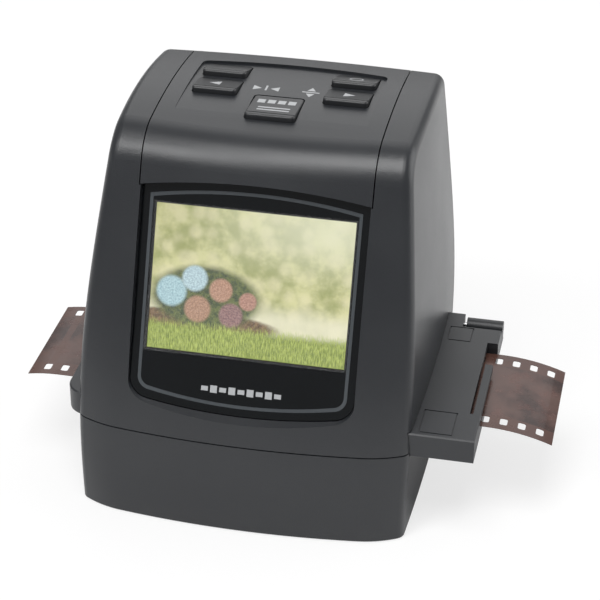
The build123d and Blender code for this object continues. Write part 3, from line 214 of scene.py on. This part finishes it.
def build_picture():
    """A lit display: round blossoms over a wooden rail, sunlit trees behind, grass close by.

    Places and sizes in the picture are in millimetres from the screen's middle.
    """
    material, tree, shader = new_material("display picture")
    place = tree.nodes.new("ShaderNodeTexCoord").outputs["Object"]
    flat = add_node(tree, "ShaderNodeMapping", vector_type="TEXTURE")
    flat.inputs["Location"].default_value = SCREEN_POINT
    flat.inputs["Rotation"].default_value = (SCREEN_TURN, 0, 0)
    flat.inputs["Scale"].default_value = (MM, MM, MM)
    join(tree, place, flat.inputs["Vector"])
    at = flat.outputs["Vector"]
    split = tree.nodes.new("ShaderNodeSeparateXYZ")
    join(tree, at, split.inputs["Vector"])
    across, up = split.outputs["X"], split.outputs["Y"]
    # the far trees, out of focus
    discs = add_node(tree, "ShaderNodeTexVoronoi", feature="SMOOTH_F1", Scale=0.23, Smoothness=0.6)
    join(tree, at, discs.inputs["Vector"])
    leaf = fade(tree, noise(tree, at, 0.11, 4.0, 0.65), 0.36, 0.64)
    colour = mix_colour(tree, leaf, (0.33, 0.35, 0.11), (0.68, 0.66, 0.32))
    glow = fade(tree, discs.outputs["Distance"], 0.62, 0.2)
    colour = mix_colour(tree, math_node(tree, "MULTIPLY", glow, 0.5), colour, (0.80, 0.74, 0.46))
    haze = math_node(tree, "MULTIPLY", fade(tree, up, -2.0, 16.0), fade(tree, across, -26.0, 22.0))
    colour = mix_colour(tree, math_node(tree, "MULTIPLY", haze, 0.7), colour, (0.80, 0.80, 0.58))
    dark_left = math_node(tree, "MULTIPLY", fade(tree, across, -4.0, -27.0), fade(tree, up, 0.0, 17.0))
    colour = mix_colour(tree, math_node(tree, "MULTIPLY", dark_left, 0.25), colour, (0.20, 0.20, 0.05))
    # the field behind the rail
    rolling = math_node(tree, "MULTIPLY", noise(tree, at, 0.12), 4.0)
    field = fade(tree, math_node(tree, "ADD", up, rolling), -1.0, -7.0)
    colour = mix_colour(tree, math_node(tree, "MULTIPLY", field, 0.75), colour, (0.88, 0.84, 0.62))
    # the rail, and a low bush of round blossoms over it
    rail = spot(tree, at, (-14.0, -11.2), (21.0, 3.2))
    colour = mix_colour(tree, rail, colour, (0.115, 0.060, 0.024))
    bark = fade(tree, noise(tree, at, 1.1, 3.0), 0.4, 0.65)
    colour = mix_colour(tree, math_node(tree, "MULTIPLY", rail, bark), colour, (0.26, 0.155, 0.07))
    leaves = fade(tree, noise(tree, at, 0.9, 3.0, 0.7), 0.35, 0.65)
    bush = spot(tree, at, (-11.5, -4.5), (14.0, 8.0), 0.15)
    foliage = mix_colour(tree, leaves, (0.035, 0.055, 0.015), (0.14, 0.17, 0.04))
    colour = mix_colour(tree, bush, colour, foliage)
    petals = fade(tree, noise(tree, at, 2.2, 2.0, 0.7), 0.3, 0.7)
    for centre, radius, dark, light in (
        ((-20.5, -3.6), 3.9, (0.26, 0.44, 0.50), (0.55, 0.74, 0.76)),
        ((-14.6, 0.2), 3.3, (0.32, 0.46, 0.52), (0.62, 0.78, 0.80)),
        ((-13.4, -7.6), 3.4, (0.30, 0.15, 0.09), (0.56, 0.34, 0.22)),
        ((-7.6, -2.2), 3.0, (0.34, 0.16, 0.10), (0.60, 0.36, 0.24)),
        ((-4.6, -8.4), 3.1, (0.18, 0.09, 0.09), (0.40, 0.23, 0.21)),
        ((-0.4, -4.4), 2.3, (0.32, 0.14, 0.10), (0.58, 0.33, 0.24)),
    ):
        ball = spot(tree, at, centre, (radius, radius), 0.15)
        colour = mix_colour(tree, ball, colour, mix_colour(tree, petals, dark, light))
    # grass close by
    blades = add_node(tree, "ShaderNodeMapping", Scale=(2.4, 0.35, 1.0), Rotation=(0, 0, radians(8)))
    join(tree, at, blades.inputs["Vector"])
    blade = noise(tree, blades.outputs["Vector"], 1.6, 3.0, 0.7)
    edge = math_node(tree, "ADD", up, math_node(tree, "MULTIPLY", blade, -5.0))
    grass = mix_colour(tree, fade(tree, blade, 0.35, 0.7), (0.16, 0.22, 0.02), (0.52, 0.60, 0.13))
    colour = mix_colour(tree, fade(tree, edge, -13.0, -15.5), colour, grass)
    join(tree, colour, shader.inputs["Emission Color"])
    shader.inputs["Base Color"].default_value = (0.01, 0.01, 0.01, 1)
    shader.inputs["Emission Strength"].default_value = 1.0
    shader.inputs["Roughness"].default_value = 0.3
    return material


# ---------------------------------------------------------------- film
def build_film_look():
    """Developed colour negative: dull red-brown, with mottled frames and plainer film round them."""
    material, tree, shader = new_material("negative film")
    place = tree.nodes.new("ShaderNodeTexCoord").outputs["Object"]
    split = tree.nodes.new("ShaderNodeSeparateXYZ")
    join(tree, place, split.inputs["Vector"])
    along, across = split.outputs["X"], split.outputs["Y"]
    count = math_node(tree, "DIVIDE", math_node(tree, "ADD", along, FRAME_PITCH / 2), FRAME_PITCH)
    from_middle = math_node(tree, "SUBTRACT", math_node(tree, "FRACT", count), 0.5)
    frame_x = fade(tree, math_node(tree, "ABSOLUTE", from_middle), FRAME_END_OUTER, FRAME_END_INNER)
    off_middle = math_node(tree, "ABSOLUTE", math_node(tree, "SUBTRACT", across, FILM_MIDDLE_Y))
    frame_y = fade(tree, off_middle, FRAME_SIDE_OUTER, FRAME_SIDE_INNER)
    inside = math_node(tree, "MULTIPLY", frame_x, frame_y)
    shapes = fade(tree, noise(tree, place, 75.0, 4.0, 0.55), 0.36, 0.62)
    spots = fade(tree, noise(tree, place, 190.0, 3.0, 0.6), 0.45, 0.7)
    picture = mix_colour(tree, shapes, (0.035, 0.018, 0.016), (0.105, 0.058, 0.048))
    picture = mix_colour(tree, math_node(tree, "MULTIPLY", spots, 0.35), picture, (0.15, 0.065, 0.052))
    border = mix_colour(tree, shapes, (0.085, 0.042, 0.034), (0.105, 0.052, 0.040))
    colour = mix_colour(tree, inside, border, picture)
    join(tree, colour, shader.inputs["Base Color"])
    rough = math_node(tree, "ADD", math_node(tree, "MULTIPLY", spots, 0.1), 0.22)
    join(tree, rough, shader.inputs["Roughness"])
    shader.inputs["Transmission Weight"].default_value = 0.15
    shader.inputs["IOR"].default_value = 1.4
    return material


def clear_plastic(name, tint, roughness):
    """A clear window or lens: glass with a faint tint that varies."""
    material, tree, shader = new_material(name)
    place = tree.nodes.new("ShaderNodeTexCoord").outputs["Object"]
    cloud = fade(tree, noise(tree, place, 40.0), 0.3, 0.7)
    paler = [min(1.0, 1.03 * c) for c in tint]
    join(tree, mix_colour(tree, cloud, tint, paler), shader.inputs["Base Color"])
    rough = math_node(tree, "ADD", math_node(tree, "MULTIPLY", cloud, 0.02), roughness)
    join(tree, rough, shader.inputs["Roughness"])
    shader.inputs["Transmission Weight"].default_value = 1.0
    shader.inputs["IOR"].default_value = 1.45
    return material


def circuit_board():
    """A green board with faint copper tracks."""
    material, tree, shader = new_material("circuit board")
    place = tree.nodes.new("ShaderNodeTexCoord").outputs["Object"]
    tracks = add_node(tree, "ShaderNodeTexBrick", Scale=160.0)
    tracks.inputs["Mortar Size"].default_value = 0.03
    tracks.inputs["Color1"].default_value = (0.012, 0.10, 0.04, 1)
    tracks.inputs["Color2"].default_value = (0.016, 0.13, 0.05, 1)
    tracks.inputs["Mortar"].default_value = (0.05, 0.22, 0.08, 1)
    join(tree, place, tracks.inputs["Vector"])
    join(tree, tracks.outputs["Color"], shader.inputs["Base Color"])
    rough = math_node(tree, "ADD", math_node(tree, "MULTIPLY", noise(tree, place, 90.0), 0.1), 0.28)
    join(tree, rough, shader.inputs["Roughness"])
    return material


def white_lamp():
    """Opal white for the lamps, their reflector box and the diffuser."""
    material, tree, shader = new_material("lamp and reflector white")
    place = tree.nodes.new("ShaderNodeTexCoord").outputs["Object"]
    cloud = fade(tree, noise(tree, place, 120.0), 0.3, 0.7)
    tint = mix_colour(tree, cloud, (0.78, 0.77, 0.72), (0.84, 0.83, 0.79))
    join(tree, tint, shader.inputs["Base Color"])
    rough = math_node(tree, "ADD", math_node(tree, "MULTIPLY", cloud, 0.08), 0.4)
    join(tree, rough, shader.inputs["Roughness"])
    return material


casing_look = moulded("casing charcoal", (0.015, 0.0165, 0.0195), (0.019, 0.021, 0.024), 0.34)
cover_look = moulded("cover charcoal", (0.016, 0.0175, 0.0205), (0.020, 0.022, 0.025), 0.34)
key_look = moulded(
    "key charcoal", (0.017, 0.018, 0.020), (0.021, 0.022, 0.024), 0.36, per_metre=4200.0, depth=0.00001
)
tray_look = moulded(
    "tray charcoal", (0.018, 0.0195, 0.0225), (0.022, 0.024, 0.027), 0.42, per_metre=3600.0, depth=0.00002
)
inner_look = moulded("inner black", (0.012, 0.012, 0.013), (0.017, 0.017, 0.018), 0.6)
rubber_look = moulded(
    "rubber black", (0.014, 0.014, 0.014), (0.020, 0.020, 0.020), 0.75, per_metre=2200.0, depth=0.00004
)
bezel_look = moulded(
    "bezel gloss black", (0.0025, 0.0032, 0.0040), (0.0035, 0.0045, 0.0055), 0.14,
    per_metre=900.0, depth=0.0, spread=0.06, specular=0.38,
)
inlay_look = moulded(
    "inlay grey", (0.045, 0.052, 0.058), (0.060, 0.068, 0.075), 0.34, per_metre=2600.0, depth=0.0
)
chip_look = moulded("chip black", (0.015, 0.015, 0.016), (0.02, 0.02, 0.021), 0.5, per_metre=5000.0)
ribbon_look = moulded(
    "flat cable", (0.55, 0.50, 0.34), (0.62, 0.57, 0.40), 0.35, per_metre=1500.0, depth=0.0
)
steel_look = bright_metal("bright steel", (0.62, 0.62, 0.63), 0.25)
window_look = clear_plastic("window clear", (0.95, 0.96, 0.97), 0.03)
lens_look = clear_plastic("lens glass", (0.80, 0.85, 0.92), 0.02)
picture_look = build_picture()
film_look = build_film_look()
board_look = circuit_board()
white_look = white_lamp()
mark_look = moulded(
    "printed mark", (0.36, 0.37, 0.38), (0.42, 0.43, 0.44), 0.5, per_metre=5200.0, depth=0.0
)

LOOKS = {
    "base_pan": casing_look, "main_housing": casing_look, "top_cover": cover_look,
    "screen_bezel": bezel_look, "bezel_inlay": inlay_look, "screen_window": window_look,
    "lcd_panel": picture_look, "lcd_frame": steel_look,
    "power_button": key_look, "left_button": key_look, "ok_button": key_look,
    "right_button": key_look, "scan_button": key_look,
    "key_board": board_look, "led_board": board_look, "sensor_board": board_look,
    "main_board": board_look, "tact_switches": chip_look, "main_chips": chip_look,
    "video_jack": chip_look, "image_sensor": chip_look,
    "leds": white_look, "light_box": white_look, "diffuser_panel": white_look,
    "tray_guide": inner_look, "optics_tower": inner_look, "lens_barrel": inner_look,
    "lens_elements": lens_look,
    "detent_spring": steel_look, "card_socket": steel_look, "usb_port": steel_look,
    "tray_base": tray_look, "tray_lid": tray_look, "tray_hinge_pins": steel_look,
    "film_strip": film_look,
    "lcd_ribbon": ribbon_look, "sensor_ribbon": ribbon_look, "key_ribbon": ribbon_look,
    "rubber_feet": rubber_look,
    "casing_screws": steel_look, "guide_screws": steel_look, "led_board_screws": steel_look,
    "tower_screws": steel_look, "main_board_screws": steel_look, "key_board_screws": steel_look,
}
for node_name, look in LOOKS.items():
    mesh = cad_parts[node_name].data
    mesh.materials.clear()
    mesh.materials.append(look)


# ---------------------------------------------------------------- printed marks
# Thin generic pictograms: arrows on two keys, a ring and a row of frames over bars on two others, two signs
# between the keys, and a row of film frames on the screen's panel. Sizes and places are in millimetres.
PRINT = 0.06  # thickness of a mark, half of it sunk in
LINE = 0.5  # width of a sign's line
CROWN_Y, CROWN_TOP, CROWN_RADIUS = 18.0, 100.2, 160.0  # highest line and curve of the casing's top
PANEL_FRONT, PANEL_BACK, PANEL_LIP, PANEL_STEP = 4.0, 36.9, 0.06, 0.7  # the sunk panel round the keys
KEY_RISE, KEY_LIP = 1.5, 1.3  # a key's raised front lip
ARROW_KEYS = (13.5, 9.6)  # front edge and depth of the left and right keys
OK_KEY = (24.9, 9.2)
SCAN_KEY = (2.0, 13.4)
ARROW_LEFT_X, ARROW_RIGHT_X, ARROW_Y, ARROW_RADIUS = -17.7, 17.2, 18.8, 2.0
RING_X, RING_Y, RING_RADIUS, RING_LINE = 17.4, 30.2, 1.7, 0.4
SCAN_FRAME_X, SCAN_FRAME_Y, SCAN_FRAME_PITCH, SCAN_FRAME_SIZE = -4.0, 11.4, 2.7, (2.0, 2.4)
SCAN_FRAME_COUNT = 4
SCAN_BAR_X, SCAN_BAR_Y, SCAN_BAR_SIZE = 0.2, (5.6, 7.2), (8.4, 0.7)
SIGN_Y = 19.8
LEFT, RIGHT, FRONT, BACK = radians(90), radians(-90), radians(180), 0.0  # headings of an arrow
MIRROR_X, MIRROR_REACH, MIRROR_LENGTH, MIRROR_ARROW = -4.7, 2.7, 3.4, 1.5
FLIP_X, FLIP_REACH, FLIP_LENGTH, FLIP_ARROW = 7.2, 1.6, 4.6, 1.3
STRIP_LEVEL = -27.6  # the row of film frames, below the screen's middle
STRIP_PITCH, STRIP_SIDE_COUNT = 2.4, 4
STRIP_WIDTH, STRIP_TALL, STRIP_LOW = 1.8, 1.9, 1.2


def panel_level(y):
    """Height in mm of the key panel."""
    crown = CROWN_TOP - CROWN_RADIUS + sqrt(CROWN_RADIUS**2 - (y - CROWN_Y) ** 2)
    return crown - PANEL_LIP - PANEL_STEP * (y - PANEL_FRONT) / (PANEL_BACK - PANEL_FRONT)


def key_face(near, depth):
    """The sloped face of a key, by its front edge and depth: a function from Y to height, and its turn."""
    low, high = panel_level(near + depth), panel_level(near) + KEY_RISE
    slope = (high - low) / (depth - KEY_LIP)
    return (lambda y: high - slope * (y - near - KEY_LIP)), -atan(slope)


def settle(size, turn, x, y, z):
    """The active object, made at the origin, gets its size, its turn about X and its place in mm."""
    piece = bpy.context.active_object
    piece.scale = size
    bpy.ops.object.transform_apply(location=False, rotation=True, scale=True)
    piece.rotation_euler = (turn, 0, 0)
    piece.location = (x * MM, y * MM, z * MM)
    bpy.ops.object.transform_apply(location=True, rotation=True, scale=True)
    return piece


def bar(width, depth, turn, x, y, z):
    """A flat bar across a face."""
    bpy.ops.mesh.primitive_cube_add(size=1)
    return settle((width * MM, depth * MM, PRINT * MM), turn, x, y, z)


def arrow(radius, heading, turn, x, y, z):
    """A triangle that points along its heading: BACK, LEFT, RIGHT or FRONT."""
    bpy.ops.mesh.primitive_cylinder_add(
        vertices=3, radius=radius * MM, depth=PRINT * MM, rotation=(0, 0, heading)
    )
    return settle((1, 1, 1), turn, x, y, z)


def ring(radius, turn, x, y, z):
    """A ring, flattened to the thickness of print."""
    bpy.ops.mesh.primitive_torus_add(
        major_radius=radius * MM, minor_radius=RING_LINE / 2 * MM, major_segments=40, minor_segments=8
    )
    return settle((1, 1, PRINT / RING_LINE), turn, x, y, z)


def printed(name, parts, body):
    """Joins the parts of a mark into one piece that rides on its body."""
    bpy.ops.object.select_all(action="DESELECT")
    for part in parts:
        part.select_set(True)
    bpy.context.view_layer.objects.active = parts[0]
    if len(parts) > 1:
        bpy.ops.object.join()
    piece = bpy.context.active_object
    piece.name = name
    piece.data.name = name
    piece.data.materials.clear()
    piece.data.materials.append(mark_look)
    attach(piece, body)


def key_marks():
    """An arrow on the left and on the right key, a ring on the OK key, frames and bars on the scan key."""
    height, turn = key_face(*ARROW_KEYS)
    at = (ARROW_Y, height(ARROW_Y))
    printed("left_arrow", [arrow(ARROW_RADIUS, LEFT, turn, ARROW_LEFT_X, *at)], "left_button")
    printed("right_arrow", [arrow(ARROW_RADIUS, RIGHT, turn, ARROW_RIGHT_X, *at)], "right_button")
    height, turn = key_face(*OK_KEY)
    printed("ok_ring", [ring(RING_RADIUS, turn, RING_X, RING_Y, height(RING_Y))], "ok_button")
    height, turn = key_face(*SCAN_KEY)
    parts = []
    for step in range(SCAN_FRAME_COUNT):
        x = SCAN_FRAME_X + step * SCAN_FRAME_PITCH
        parts.append(bar(*SCAN_FRAME_SIZE, turn, x, SCAN_FRAME_Y, height(SCAN_FRAME_Y)))
    for y in SCAN_BAR_Y:
        parts.append(bar(*SCAN_BAR_SIZE, turn, SCAN_BAR_X, y, height(y)))
    printed("scan_mark", parts, "scan_button")


def panel_signs():
    """Between the keys: two arrows that face a line, and two that point away from a line."""
    level = panel_level(SIGN_Y)
    parts = [
        arrow(MIRROR_ARROW, RIGHT, 0, MIRROR_X - MIRROR_REACH, SIGN_Y, level),
        arrow(MIRROR_ARROW, LEFT, 0, MIRROR_X + MIRROR_REACH, SIGN_Y, level),
        bar(LINE, MIRROR_LENGTH, 0, MIRROR_X, SIGN_Y, level),
        bar(FLIP_LENGTH, LINE, 0, FLIP_X, SIGN_Y, level),
    ]
    for heading, y in ((BACK, SIGN_Y + FLIP_REACH), (FRONT, SIGN_Y - FLIP_REACH)):
        parts.append(arrow(FLIP_ARROW, heading, 0, FLIP_X, y, panel_level(y)))
    printed("panel_marks", parts, "casing")


def strip_of_frames():
    """A row of film frames, tall and low in turn, printed below the display."""
    y = SCREEN_POINT.y / MM + STRIP_LEVEL * cos(SCREEN_TURN)
    z = SCREEN_POINT.z / MM + STRIP_LEVEL * sin(SCREEN_TURN)
    parts = []
    for step in range(-STRIP_SIDE_COUNT, STRIP_SIDE_COUNT + 1):
        tall = STRIP_TALL if step % 2 else STRIP_LOW
        parts.append(bar(STRIP_WIDTH, tall, SCREEN_TURN, step * STRIP_PITCH, y, z))
    printed("bezel_frames", parts, "casing")


key_marks()
panel_signs()
strip_of_frames()

# ---------------------------------------------------------------- camera, light and floor
bpy.ops.object.select_all(action="DESELECT")
AIM = Vector((8.69 * MM, 0, 48.56 * MM))
AZIMUTH, ELEVATION, ROLL = radians(11.96), radians(31.15), radians(0.20)
DISTANCE = 537.6 * MM
LENS, SENSOR_WIDTH = 121.62, 36.0
FLOOR_SIZE = 6.0
FLOOR_GLOW = 0.7  # share of plain white that the camera sees in the floor
WORLD_LIGHT, WORLD_IN_GLOSS, WORLD_SEEN = 0.3, 0.05, 0.7  # the last two are added to the first


def set_camera():
    """The camera of the photograph, aimed past the casing's middle towards the tray."""
    back = Vector((sin(AZIMUTH) * cos(ELEVATION), -cos(AZIMUTH) * cos(ELEVATION), sin(ELEVATION)))
    right = Vector((cos(AZIMUTH), sin(AZIMUTH), 0))
    facing = Matrix((right, back.cross(right), back)).transposed().to_4x4()
    camera_data = bpy.data.cameras.new("camera")
    camera_data.lens = LENS
    camera_data.sensor_width = SENSOR_WIDTH
    camera = bpy.data.objects.new("camera", camera_data)
    bpy.context.scene.collection.objects.link(camera)
    roll = Matrix.Rotation(ROLL, 4, "Z")
    camera.matrix_world = Matrix.Translation(AIM + back * DISTANCE) @ facing @ roll
    bpy.context.scene.camera = camera


def lay_floor():
    """A pale floor that the camera sees as nearly white, with soft shadows."""
    bpy.ops.mesh.primitive_plane_add(size=FLOOR_SIZE, location=(0, 0, 0))
    floor = bpy.context.active_object
    floor.name = "floor"
    floor_look, tree, shader = new_material("pale floor")
    shader.inputs["Base Color"].default_value = (0.9, 0.9, 0.9, 1)
    shader.inputs["Roughness"].default_value = 0.9
    shader.inputs["Specular IOR Level"].default_value = 0.0
    white = add_node(tree, "ShaderNodeEmission", Strength=1.0)
    path = tree.nodes.new("ShaderNodeLightPath")
    share = tree.nodes.new("ShaderNodeMixShader")
    glow = math_node(tree, "MULTIPLY", path.outputs["Is Camera Ray"], FLOOR_GLOW)
    join(tree, glow, share.inputs[0])
    join(tree, shader.outputs[0], share.inputs[1])
    join(tree, white.outputs[0], share.inputs[2])
    join(tree, share.outputs[0], tree.nodes["Material Output"].inputs["Surface"])
    floor.data.materials.append(floor_look)


def set_world():
    """A white studio: dim as light, bright where the camera sees it."""
    world = bpy.data.worlds.new("studio")
    bpy.context.scene.world = world
    world.use_nodes = True
    air = world.node_tree
    ground = air.nodes["Background"]
    ground.inputs["Color"].default_value = (1, 1, 1, 1)
    sight = air.nodes.new("ShaderNodeLightPath")
    seen = math_node(air, "MAXIMUM", sight.outputs["Is Camera Ray"], sight.outputs["Is Transmission Ray"])
    glossy = math_node(air, "MULTIPLY", sight.outputs["Is Glossy Ray"], WORLD_IN_GLOSS)
    strength = math_node(air, "ADD", math_node(air, "MULTIPLY", seen, WORLD_SEEN), WORLD_LIGHT)
    join(air, math_node(air, "ADD", strength, glossy), ground.inputs["Strength"])


def softbox(name, place, aim, size, power):
    """A square area light, turned towards its aim."""
    lamp = bpy.data.lights.new(name, "AREA")
    lamp.shape = "SQUARE"
    lamp.size = size
    lamp.energy = power
    box = bpy.data.objects.new(name, lamp)
    bpy.context.scene.collection.objects.link(box)
    box.location = place
    box.rotation_euler = (Vector(aim) - Vector(place)).to_track_quat("-Z", "Y").to_euler()


set_camera()
lay_floor()
set_world()
softbox("key_light", place=(0.0, -0.4, 1.12), aim=(0, 0, 0.05), size=0.55, power=8)
softbox("brow_light", place=(-0.55, -0.75, 1.05), aim=(0, 0, 0.08), size=0.4, power=6)
softbox("rear_light", place=(-0.1, 1.1, 0.95), aim=(0, 0, 0.05), size=1.3, power=6)
softbox("side_light", place=(1.5, 0.6, 0.5), aim=(0, 0, 0.05), size=1.4, power=15)

view = bpy.context.scene.view_settings
view.view_transform = "Standard"
